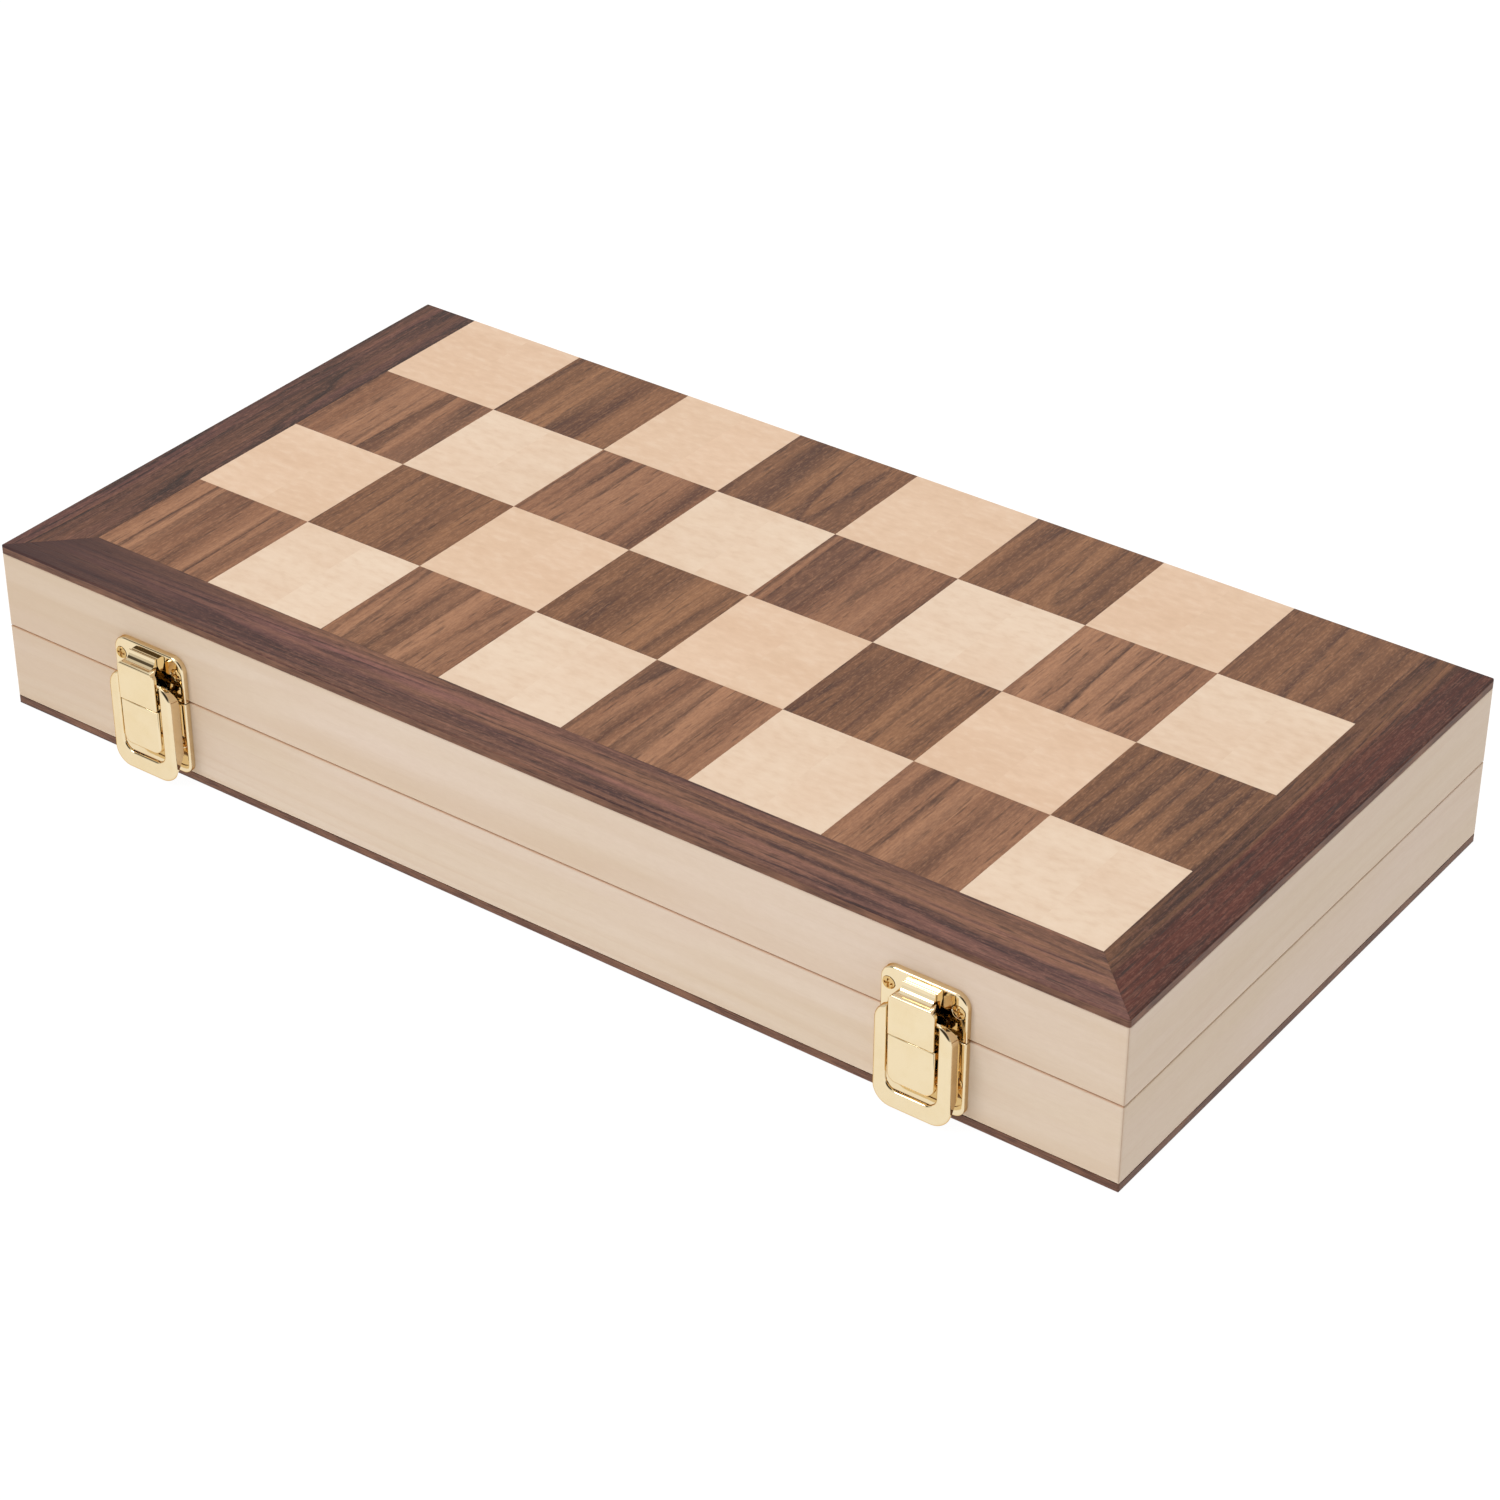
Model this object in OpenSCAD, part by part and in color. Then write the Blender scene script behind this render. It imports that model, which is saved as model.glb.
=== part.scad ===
// Folding chess and backgammon case, shut: two equal trays of mitred maple walls on veneered
// panels, joined by two butt hinges at the back and held at the front by two toggle latches.
// Millimetres. Origin at the centre of the underside, +X to the right, +Y to the hinges, +Z up.

/* [Board] */
// Side of one playing square
square = 44.8; // [36:0.1:55]
// Width of the walnut border round the squares
border_w = 20.8; // [12:0.1:30]
// Thickness of the outer veneers, squares and border alike
veneer_t = 0.6; // [0.4:0.1:1]
// Width of the glue line between two pieces of veneer
glue_line = 0.04; // [0.02:0.01:0.1]

/* [Case] */
// Height of one half, from its veneered face to its rim
half_h = 28.2; // [27:0.1:45]
// Thickness of the maple walls
wall_t = 10; // [8.5:0.5:14]
// Thickness of the core panel behind the veneers
core_t = 2.2; // [1.5:0.1:4]
// Radius of the eased long edges
ease_r = 0.5; // [0.2:0.1:0.6]
// Radius of the four upright corners
corner_r = 0.8; // [0.3:0.1:3]
// Gap between the two rims when the case is shut
seam_gap = 0.3; // [0.2:0.05:0.5]

/* [Backgammon field] */
// Thickness of the veneer on the floor of each tray
field_t = 0.6; // [0.4:0.1:1]
// Distance between the tips of two facing points
tip_gap = 84; // [40:1:120]
// Bare width between the feet of two neighbouring points
foot_gap = 1.2; // [0.5:0.1:4]
// Gap between the floor veneer and the walls
field_gap = 0.1; // [0.05:0.01:0.3]

/* [Hinges] */
// Distance from an end of the case to the middle of a hinge
hinge_inset = 80; // [45:1:110]
// Length of a hinge
hinge_l = 30; // [26:1:40]
// Radius of the hinge barrel
barrel_r = 1.75; // [1.5:0.05:2.2]
// Radius of the hinge pin
hinge_pin_r = 0.8; // [0.6:0.05:1]
// Thickness of a leaf
leaf_t = 0.9; // [0.7:0.05:1.2]
// Wood left between a leaf and the inner face of the wall
leaf_margin = 2.5; // [1.5:0.1:3]
// Distance from the middle of a hinge to each of its screws
hinge_screw_x = 9; // [7:0.5:10]

/* [Latch plates] */
// Distance from an end of the case to the middle of a latch
latch_inset = 61; // [35:1:100]
// Width of both latch plates
plate_w = 27.6; // [27:0.1:32]
// Height of the strike plate above the middle of the seam
strike_h = 15; // [14.5:0.1:18]
// Height of the base plate below the middle of the seam
base_plate_h = 25.3; // [23:0.1:26]
// Thickness of both plates
plate_t = 2; // [1.6:0.1:2.2]
// Corner radius of the plates, seen from the front
plate_corner = 4.5; // [3:0.1:5]
// Distance from the middle of a latch to each of its screws
latch_screw_x = 11.1; // [10.5:0.1:11.2]
// Height of the strike screws above the middle of the seam
strike_screw_z = 9.35; // [8.8:0.1:10.5]
// Depth of the base plate screws below the middle of the seam
base_screw_z = 13.85; // [8:0.1:18]
// Radius of the heads of all the screws
screw_head_r = 2; // [1.8:0.1:2.1]
// Radius of the shanks of all the screws
screw_shank_r = 1.1; // [0.8:0.1:1.3]
// Length of the hinge screws in the wood
hinge_screw_l = 9; // [6:0.5:12]

/* [Latch lever and hook] */
// Sheet thickness of the lever and the hook
sheet_t = 1; // [0.8:0.05:1.1]
// Width of the ring lever
lever_w = 24.8; // [24:0.1:27]
// Height of the lever's top above the middle of the seam
lever_up = 6.5; // [6.1:0.05:6.6]
// Depth of the lever's lower end below the middle of the seam
lever_down = 27.2; // [25:0.05:27.6]
// Corner radius of the lever, seen from the front
lever_corner = 6; // [5:0.1:6.4]
// Distance of the lever's front from the wood
lever_front = 7.2; // [7.1:0.05:7.4]
// Width of the bar across the lower end of the lever
grip_w = 6; // [4.5:0.1:7]
// Width of the hook
hook_w = 14.8; // [13:0.1:15]
// Distance of the hook's front from the wood
hook_front = 8.2; // [8.15:0.05:8.8]
// Height of the hook's front edge above the middle of the seam
hook_up = 11.1; // [10.8:0.05:11.4]
// Height of the top of the hook's upturned lip above the middle of the seam
lip_up = 13.9; // [13.6:0.05:14.1]
// Rounding of the lip's top
lip_r = 0.2; // [0.1:0.01:0.22]
// Depth of the hook's lower edge below the middle of the seam
hook_down = 1.85; // [1.8:0.05:2.1]
// Width of the keeper that the lip stands in front of
keeper_w = 10.4; // [8:0.1:12]
// Distance of the back of the lip from the wood
lip_out = 3.8; // [3.6:0.05:4]
// Width of the slit between the lip and the keeper
slit = 0.4; // [0.3:0.05:0.5]
// Width of the tongue below the hook
tongue_w = 15; // [14:0.1:15.4]
// Distance of the tongue's front from the wood
tongue_front = 7.6; // [7.3:0.05:8]
// Height of the tongue, from its lower end to the hook
tongue_h = 15.25; // [14:0.05:16]
// Gap between the lever's window and the hook
window_gap = 0.8; // [0.5:0.05:1.2]
// Distance of the lever's pivot from the wood
pivot_out = 5.7; // [5.6:0.05:5.75]
// Height of the lever's pivot above the middle of the seam
pivot_up = 3.2; // [3.1:0.05:3.3]
// Distance of the hook's rivets from the wood
rivet_out = 5.3; // [5.1:0.05:5.4]
// Depth of the hook's rivets below the middle of the seam
rivet_down = 0.45; // [0.4:0.05:0.55]
// Radius of the lever's pin and of the hook's rivets
pin_r = 0.6; // [0.5:0.05:0.65]

/* [Fits] */
// Radial clearance of every pin in what turns on it
running_fit = 0.05; // [0.02:0.01:0.08]
// Clearance between moving pieces that pass each other
pass_gap = 0.3; // [0.2:0.05:0.35]
// Clearance of leaves and screws in the wood and in the plates
seat_gap = 0.05; // [0.02:0.01:0.1]

/* [Hidden] */

$fn = 48;
cut = 1; // how far a cutting tool runs past what it cuts

columns = 8;
rows = 4;
case_l = columns * square + 2 * border_w;
case_w = rows * square + border_w;
panel_t = veneer_t + core_t;
seam_z = half_h + seam_gap / 2;
inner_l = case_l - 2 * wall_t;
inner_w = case_w - 2 * wall_t;

points_a_side = 6;
point_pitch = (inner_w - 2 * field_gap) / points_a_side;
point_l = (inner_l - tip_gap) / 2 - field_gap;

hinge_x = case_l / 2 - hinge_inset;
hinge_y = case_w / 2 + seam_gap / 2;
leaf_w = wall_t - leaf_margin;
knuckle_gap = pass_gap;
knuckle_l = (hinge_l - 2 * knuckle_gap) / 3;
screw_dome = 0.35;
screw_cone = 0.8;
screw_tip_r = 0.1;
ring_gap = 0.25; // groove left round each screw head
recess_l = 1.4 * screw_head_r;
recess_w = 0.7;
recess_depth = 0.6;
hinge_screw_in = 0.6; // how far the hinge screws stand inwards of the leaf's middle
tip_margin = 1.5; // wood left beyond the point of a latch screw

latch_x = case_l / 2 - latch_inset;
base_corner = 3.4; // lower corners of the base plate
plate_edge = 0.7;
lever_edge = 1.1;
lever_back = plate_t + screw_dome + pass_gap + seat_gap; // back edge of the lever's side flanges
lever_top_r = 1.6;
heel_up = 0.75; // where the flanges' slanting upper edge starts, below the middle of the seam
grip_back = 5.9; // back of the grip, so that a fingertip goes behind it
boss_wall = 1;
boss_w = 12;
cheek_depth = 2; // side cheeks of the tongue
ear_r = 1.2;
horn_r = 1.2;
tongue_corner = 3;
sunk = 0.02; // how far the straight sides of a band lie inside its two discs
tongue_edge = 0.8;
hook_ease = 0.35; // easing of the hook's lower edge
tongue_gap = 0.8; // gap between the hook and the tongue below it
tongue_lip = 0.8; // rounding of the tongue's upper edge
window_edge = 0.8; // rounding of the lever round its window
lip_t = 0.5; // thickness of the hook's lip at its top
seam_ease = 0.5; // rounding of both plates where they part at the seam
hook_corner = 2.4; // upper corners of the hook, seen from the front
hook_edge = 0.8; // upright edges of the hook
pin_cover = 0.5; // sheet left over the ends of pins and rivets
shoulder_in = 0.8; // how much shorter the pin is at each end, inside the round shoulders
flange_bulge = 0.5;
keeper_top = 13.6;
keeper_bottom = 7.9;
keeper_flat = 2.4;
keeper_nose = 0.6;
horn_foot = [plate_t + 2.6, -hook_down - pass_gap];
horn_foot_r = 2;
grip_slope = [4.5, 9.9]; // the lever's lower back edge slopes between these heights above its end
window_corner = 3.8;
cap_low = 6.4; // lower edge of the cap's closed sides
cap_low_r = 1.2;
inner_bend_r = 0.2;
lever_h = lever_up + lever_down;
window_w = hook_w + 2 * window_gap;
tongue_top = hook_down + tongue_gap;
rivet_end = lever_w / 2 - pin_cover - seat_gap;
pin_end = rivet_end - shoulder_in;

// ---- shapes used all over ------------------------------------------------------------------

// Rectangle centred on the origin with four round corners
module rounded(w, h, r) {
    square([w - 2 * r, h], center = true);
    square([w, h - 2 * r], center = true);
    for (x = [-1, 1], y = [-1, 1])
        translate([x * (w / 2 - r), y * (h / 2 - r)]) circle(r);
}

// Two discs and the tangent band between them: the outline of a rod end or an ear
module band(a, ra, b, rb) {
    d = b - a;
    len = norm(d);
    k = (ra - rb) / len;
    s = sqrt(1 - k * k);
    u = d / len;
    n1 = [u.x * k - u.y * s, u.y * k + u.x * s];
    n2 = [u.x * k + u.y * s, u.y * k - u.x * s];
    translate(a) circle(ra);
    translate(b) circle(rb);
    polygon([a + (ra - sunk) * n1, b + (rb - sunk) * n1, b + (rb - sunk) * n2, a + (ra - sunk) * n2]);
}

// Section of a pressed plate from its middle line out to its rounded front edge
module edge_section(r, t, e) {
    square([r - e, t]);
    square([r, t - e]);
    translate([r - e, t - e]) circle(e);
}

// Plate lying on XY with round corners and a rounded upper edge, as it leaves the press
module pressed_plate(w, h, r, t, e) {
    linear_extrude(t) square([w - 2 * r, h - 2 * r], center = true);
    for (m = [0, 1]) mirror([m, 0, 0]) {
        translate([w / 2 - r, h / 2 - r, 0]) rotate([90, 0, 0])
            linear_extrude(h - 2 * r) edge_section(r, t, e);
    }
    for (m = [0, 1]) mirror([0, m, 0]) {
        translate([-w / 2 + r, h / 2 - r, 0]) rotate([90, 0, 90])
            linear_extrude(w - 2 * r) edge_section(r, t, e);
    }
    for (mx = [0, 1], my = [0, 1]) mirror([mx, 0, 0]) mirror([0, my, 0])
        translate([w / 2 - r, h / 2 - r, 0]) rotate_extrude(angle = 90) edge_section(r, t, e);
}

// The lid is the base turned over, so it is drawn as the base mirrored in the seam
module in_lid() {
    translate([0, 0, 2 * seam_z]) mirror([0, 0, 1]) children();
}

module for_half(half) {
    if (half == "base") children();
    if (half == "lid") in_lid() children();
}

// ---- walls and panels -----------------------------------------------------------------------

// A section drawn as (distance in from the face, height) and run along one side of the case
module rail(side) {
    if (side == "front" || side == "back")
        mirror([0, side == "back" ? 1 : 0, 0])
            translate([-case_l / 2, -case_w / 2, 0]) rotate([90, 0, 90]) linear_extrude(case_l) children();
    if (side == "left" || side == "right")
        mirror([side == "right" ? 1 : 0, 0, 0])
            translate([-case_l / 2, case_w / 2, 0]) rotate([90, 0, 0]) linear_extrude(case_w) children();
}

// Plan of a rail of the given depth, mitred to its neighbours; the border has no back rail
module mitre_plan(side, depth, shift, closed_back) {
    x = case_l / 2;
    y = case_w / 2;
    back = closed_back ? shift + depth : 0;
    if (side == "front" || side == "back")
        mirror([0, side == "back" ? 1 : 0])
            polygon([[-x + shift, -y], [x - shift, -y], [x - shift - depth, -y + depth],
                     [-x + shift + depth, -y + depth]]);
    if (side == "left" || side == "right")
        mirror([side == "right" ? 1 : 0, 0])
            polygon([[-x, -y + shift], [-x + depth, -y + shift + depth], [-x + depth, y - back],
                     [-x, y - (closed_back ? shift : 0)]]);
}

// Section of a wall: eased outside at the panel and on both edges of the rim
module wall_section(h) {
    translate([0, ease_r]) square([wall_t, h - 2 * ease_r]);
    translate([ease_r, 0]) square([wall_t - ease_r, ease_r]);
    translate([ease_r, h - ease_r]) square([wall_t - 2 * ease_r, ease_r]);
    translate([ease_r, ease_r]) circle(ease_r);
    translate([ease_r, h - ease_r]) circle(ease_r);
    translate([wall_t - ease_r, h - ease_r]) circle(ease_r);
}

module case_plan() {
    rounded(case_l, case_w, corner_r);
}

module plain_wall(side) {
    h = half_h - panel_t;
    intersection() {
        translate([0, 0, panel_t]) rail(side) wall_section(h);
        translate([0, 0, panel_t]) linear_extrude(h) mitre_plan(side, wall_t, 0, true);
        translate([0, 0, panel_t]) linear_extrude(h) case_plan();
    }
}

module wall(side, half) {
    color(side == "right" ? "antiquewhite" : "blanchedalmond") for_half(half) difference() {
        plain_wall(side);
        if (side == "front") latch_bores(half == "base" ? -base_screw_z : strike_screw_z);
        if (side == "back") hinge_seats();
    }
}

module core_panel(half) {
    color("sienna") for_half(half) translate([0, 0, veneer_t]) linear_extrude(core_t) case_plan();
}

// ---- veneers of the playing board ----------------------------------------------------------

module border_strip(side, half) {
    shift = glue_line / sqrt(2);
    depth = border_w - glue_line / 2;
    edge = min(ease_r, veneer_t - 0.1);
    color("saddlebrown") for_half(half) intersection() {
        rail(side) {
            translate([0, edge]) square([border_w, veneer_t - edge]);
            translate([edge, 0]) square([border_w - edge, edge]);
            translate([edge, edge]) circle(edge);
        }
        linear_extrude(veneer_t) mitre_plan(side, depth, shift, false);
        linear_extrude(veneer_t) case_plan();
    }
}

// Squares whose column and row add up to an even or an odd number, counted from the front left
module squares(half, parity, tint) {
    side = square - glue_line;
    color(tint) for_half(half)
        for (i = [0 : columns - 1], j = [0 : rows - 1])
            if ((i + j) % 2 == parity)
                translate([(i - columns / 2) * square + glue_line / 2,
                           border_w - case_w / 2 + j * square + glue_line / 2, 0])
                    cube([side, side, veneer_t]);
}

// ---- backgammon field on the floor of each tray ---------------------------------------------

// Outline of a point; grow widens it for the cut in the floor veneer
module point_outline(grow) {
    foot = point_pitch - foot_gap + 2 * grow;
    polygon([[0, -foot / 2], [point_l + 3 * grow, 0], [0, foot / 2]]);
}

// Points stand on both end walls: dark ones have the parity 0 on the left and 1 on the right
module points_at(parity, grow) {
    for (end = [0, 1]) mirror([end, 0, 0])
        for (k = [0 : points_a_side - 1])
            if ((k + end) % 2 == parity)
                translate([-inner_l / 2 + field_gap, (k + 0.5 - points_a_side / 2) * point_pitch])
                    point_outline(grow);
}

module field(half) {
    color("wheat") for_half(half) translate([0, 0, panel_t]) linear_extrude(field_t) difference() {
        square([inner_l - 2 * field_gap, inner_w - 2 * field_gap], center = true);
        points_at(0, glue_line);
        points_at(1, glue_line);
    }
}

module points(half, parity, tint) {
    color(tint) for_half(half) translate([0, 0, panel_t]) linear_extrude(field_t) points_at(parity, 0);
}

// ---- screws ----------------------------------------------------------------------------------

// Raised countersunk head with a cross recess; its seat is at z = 0 and it points down
module wood_screw(l) {
    dome_r = (pow(screw_head_r, 2) + pow(screw_dome, 2)) / (2 * screw_dome);
    point_h = 2 * screw_shank_r;
    difference() {
        union() {
            intersection() {
                translate([0, 0, screw_dome - dome_r]) sphere(dome_r, $fn = 96);
                cylinder(h = screw_dome, r = screw_head_r);
            }
            translate([0, 0, -screw_cone]) cylinder(h = screw_cone, r1 = screw_shank_r, r2 = screw_head_r);
            translate([0, 0, point_h - l]) cylinder(h = l - point_h - screw_cone, r = screw_shank_r);
            translate([0, 0, -l]) cylinder(h = point_h, r1 = screw_tip_r, r2 = screw_shank_r);
        }
        for (a = [0, 90]) rotate(a)
            translate([-recess_l / 2, -recess_w / 2, screw_dome - recess_depth])
                cube([recess_l, recess_w, recess_depth + cut]);
    }
}

// Countersunk hole for that screw, through a plate and on into the wood, a little wider than its head
module screw_hole(l) {
    translate([0, 0, -screw_cone])
        cylinder(h = screw_cone, r1 = screw_shank_r + seat_gap, r2 = screw_head_r + ring_gap);
    cylinder(h = cut, r = screw_head_r + ring_gap);
    translate([0, 0, -l - seat_gap]) cylinder(h = l, r = screw_shank_r + seat_gap);
}

// ---- hinges -----------------------------------------------------------------------------------

// Along the hinge axis, from the middle of hinge number side (-1 left, 1 right)
module at_hinge(side) {
    translate([side * hinge_x, hinge_y, seam_z]) children();
}

module along_axis(x0, l, r) {
    translate([x0, 0, 0]) rotate([0, 90, 0]) cylinder(h = l, r = r);
}

// The heads are sunk level with the leaf, so that the rims close on each other
module hinge_screw_places(side) {
    for (m = [-1, 1])
        translate([side * hinge_x + m * hinge_screw_x, case_w / 2 - leaf_w / 2 - hinge_screw_in,
                   half_h - screw_dome])
            children();
}

// Room in the rim for the leaf and the barrel, and the bores for the screws
module hinge_seats() {
    for (side = [-1, 1]) {
        translate([side * hinge_x - hinge_l / 2 - seat_gap, case_w / 2 - leaf_w - seat_gap,
                   half_h - leaf_t - seat_gap])
            cube([hinge_l + 2 * seat_gap, leaf_w + seat_gap + cut, leaf_t + seat_gap + cut]);
        at_hinge(side) along_axis(-hinge_l / 2 - pass_gap, hinge_l + 2 * pass_gap, barrel_r + pass_gap);
        hinge_screw_places(side) screw_hole(hinge_screw_l);
    }
}

// One leaf with its knuckles: the base has the two outer ones, the lid the middle one
module leaf(side, half) {
    mid = [-knuckle_l / 2, knuckle_l];
    outer = [[-hinge_l / 2, knuckle_l], [knuckle_l / 2 + knuckle_gap, knuckle_l]];
    own = half == "base" ? outer : [mid];
    other = half == "base" ? [mid] : outer;
    color("goldenrod") for_half(half) difference() {
        union() {
            difference() {
                translate([side * hinge_x - hinge_l / 2, case_w / 2 - leaf_w, half_h - leaf_t])
                    cube([hinge_l, leaf_w, leaf_t]);
                for (k = other) at_hinge(side)
                    along_axis(k[0] - knuckle_gap, k[1] + 2 * knuckle_gap, barrel_r + pass_gap);
            }
            for (k = own) at_hinge(side) along_axis(k[0], k[1], barrel_r);
        }
        at_hinge(side) along_axis(-hinge_l / 2 - cut, hinge_l + 2 * cut, hinge_pin_r + running_fit);
        hinge_screw_places(side) screw_hole(hinge_screw_l);
    }
}

module hinge_pin(side) {
    color("darkgoldenrod") at_hinge(side) along_axis(-hinge_l / 2, hinge_l, hinge_pin_r);
}

module hinge_screws(half) {
    color("gold") for_half(half) for (side = [-1, 1]) hinge_screw_places(side) wood_screw(hinge_screw_l);
}

// Tool that rounds the upper right corner of a section at (x, y)
module corner_cut(x, y, r) {
    difference() {
        translate([x - r, y - r]) square(r + cut);
        translate([x - r, y - r]) circle(r);
    }
}

// ---- latches ----------------------------------------------------------------------------------

// Places a latch piece: x along the case, y towards the wood, z up from the middle of the seam
module at_latch(side) {
    translate([side * latch_x, -case_w / 2, seam_z]) children();
}

// Turns a plate drawn on XY to stand against the front wall with its face outwards
module upright() {
    rotate([90, 0, 0]) children();
}

// Runs a section drawn as (distance from the wood, height) across the latch
module across(w) {
    rotate([90, 0, -90]) translate([0, 0, -w / 2]) linear_extrude(w) children();
}

// Rod across the latch between two x values, at a distance from the wood and a height
module rod(x0, x1, out, up, r) {
    translate([x0, -out, up]) rotate([0, 90, 0]) cylinder(h = x1 - x0, r = r);
}

latch_screw_l = wall_t + plate_t - tip_margin;

module latch_screw_places(z) {
    for (m = [-1, 1]) translate([m * latch_screw_x, -plate_t, z]) upright() children();
}

// Bores for the screws of both latches, drawn in the base half; the lid's half is mirrored
module latch_bores(z) {
    up = z > 0 ? -z : z;
    for (side = [-1, 1]) at_latch(side) latch_screw_places(up) screw_hole(latch_screw_l);
}

// Both plates are cut from such a pressed shape, parted along the seam
module latch_plate(r) {
    h = strike_h + base_plate_h;
    translate([0, 0, (strike_h - base_plate_h) / 2])
        upright() pressed_plate(plate_w, h, r, plate_t, plate_edge);
}

// The keeper is a ramp pressed out of the strike plate, level with the hook's lip at its top
module keeper_section() {
    root = plate_t / 2;
    front = lip_out - slit;
    shoulder = keeper_top - keeper_nose;
    polygon([[root, keeper_bottom], [plate_t, keeper_bottom], [front, keeper_top - keeper_flat],
             [front, shoulder], [front - keeper_nose, keeper_top], [root, keeper_top]]);
    translate([front - keeper_nose, shoulder]) circle(keeper_nose);
}

module strike_plate(side) {
    color("gold") at_latch(side) difference() {
        union() {
            intersection() {
                latch_plate(plate_corner);
                translate([-plate_w, -plate_t, seam_gap / 2]) cube([2 * plate_w, plate_t, strike_h]);
            }
            across(keeper_w) keeper_section();
        }
        across(2 * plate_w) mirror([0, 1]) corner_cut(plate_t, -seam_gap / 2, seam_ease);
        latch_screw_places(strike_screw_z) screw_hole(latch_screw_l);
    }
}

bend_r = 1;
bend_at = [hook_front - bend_r, hook_up - bend_r];

// Boss of the base plate: a trough whose front is the tongue, with two horns for the lever's pin
module boss() {
    low = tongue_top + tongue_h;
    inset = (tongue_w - boss_w) / 2;
    depth = tongue_front - sheet_t / 2 - plate_t / 2;
    middle = -low + inset + tongue_h / 2;
    translate([0, -plate_t / 2, middle]) upright() linear_extrude(depth) difference() {
        rounded(boss_w, tongue_h, tongue_corner - inset);
        translate([0, boss_wall])
            rounded(boss_w - 2 * boss_wall, tongue_h, tongue_corner - inset - boss_wall);
        translate([-boss_w, tongue_h / 2 - inset]) square([2 * boss_w, tongue_h]);
    }
    for (m = [-1, 1]) translate([m * (boss_w - boss_wall) / 2, 0, 0]) across(boss_wall)
        band([pivot_out, pivot_up], horn_r, horn_foot, horn_foot_r);
    tongue();
}

// Front of the tongue: a dish with round corners below, cut square and eased below the hook
module tongue() {
    low = tongue_top + tongue_h;
    h = tongue_h + tongue_corner;
    difference() {
        translate([0, -tongue_front + cheek_depth, -low + h / 2]) upright() difference() {
            pressed_plate(tongue_w, h, tongue_corner, cheek_depth, tongue_edge);
            translate([0, 0, -cut]) linear_extrude(cheek_depth - sheet_t + cut)
                rounded(tongue_w - 2 * sheet_t, h - 2 * sheet_t, tongue_corner - sheet_t);
        }
        translate([-tongue_w, -tongue_front - cut, -tongue_top])
            cube([2 * tongue_w, cheek_depth + 2 * cut, 2 * tongue_corner]);
        across(2 * tongue_w) corner_cut(tongue_front, -tongue_top, tongue_lip);
    }
}

module base_plate(side) {
    color("gold") at_latch(side) difference() {
        union() {
            intersection() {
                latch_plate(base_corner);
                translate([-plate_w, -plate_t, -base_plate_h - cut])
                    cube([2 * plate_w, plate_t, base_plate_h + cut - seam_gap / 2]);
            }
            boss();
        }
        across(2 * plate_w) corner_cut(plate_t, -seam_gap / 2, seam_ease);
        latch_screw_places(-base_screw_z) screw_hole(latch_screw_l);
        rod(-plate_w, plate_w, pivot_out, pivot_up, pin_r + running_fit);
    }
}

// Disc whose rim joins two points in a shallow bulge to the left of the line from a to b
module bulge_disc(a, b, rise) {
    chord = norm(b - a);
    r = (pow(chord / 2, 2) + pow(rise, 2)) / (2 * rise);
    aside = [(b - a).y, -(b - a).x] / chord;
    translate((a + b) / 2 + aside * (r - rise)) circle(r, $fn = 96);
}

// Side view of the lever: its flanges curve in at the top and leave room for a fingertip below
module lever_section() {
    top = lever_up - lever_top_r;
    heel = [lever_back, -heel_up];
    crown = [lever_front - lever_top_r, lever_up];
    difference() {
        union() {
            translate([lever_back, -lever_down]) square([lever_front - lever_back, lever_down + top]);
            translate([lever_back, top]) square([lever_front - lever_top_r - lever_back, lever_top_r]);
            translate([lever_front - lever_top_r, top]) circle(lever_top_r);
        }
        difference() {
            polygon([[lever_back - cut, heel.y - cut], heel, crown, [crown.x, crown.y + cut],
                     [lever_back - cut, crown.y + cut]]);
            bulge_disc(heel, crown, flange_bulge);
        }
        translate([0, -lever_down])
            polygon([[lever_back - cut, -cut], [grip_back, -cut], [grip_back, grip_slope[0]],
                     [lever_back, grip_slope[1]], [lever_back - cut, grip_slope[1]]]);
    }
}

// The window with its rounded edge, cut down through a plate whose face is at depth
module window(depth) {
    corner = [window_w / 2 - window_corner, -lever_h / 2 + window_corner];
    difference() {
        union() {
            translate([0, 0, -cut]) linear_extrude(depth + 2 * cut) rounded(window_w, lever_h, window_corner);
            translate([0, 0, depth - window_edge]) linear_extrude(window_edge + cut)
                rounded(window_w + 2 * window_edge, lever_h + 2 * window_edge, window_corner + window_edge);
        }
        translate([0, -lever_h / 2, depth - window_edge]) rotate([90, 0, 90])
            translate([0, 0, -corner.x]) linear_extrude(2 * corner.x) edge_round();
        for (m = [0, 1]) mirror([m, 0, 0]) {
            translate([window_w / 2, lever_h, depth - window_edge]) rotate([90, 0, 0])
                linear_extrude(lever_h - corner.y) mirror([1, 0]) edge_round();
            translate([corner.x, corner.y, depth - window_edge]) rotate([0, 0, -90])
                rotate_extrude(angle = 90) translate([window_corner, 0]) mirror([1, 0]) edge_round();
        }
    }
}

// Upper half of a disc that lies just outside the window's side at x = 0
module edge_round() {
    intersection() {
        translate([-window_edge, 0]) circle(window_edge);
        translate([-2 * window_edge, 0]) square([2 * window_edge, window_edge]);
    }
}

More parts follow.
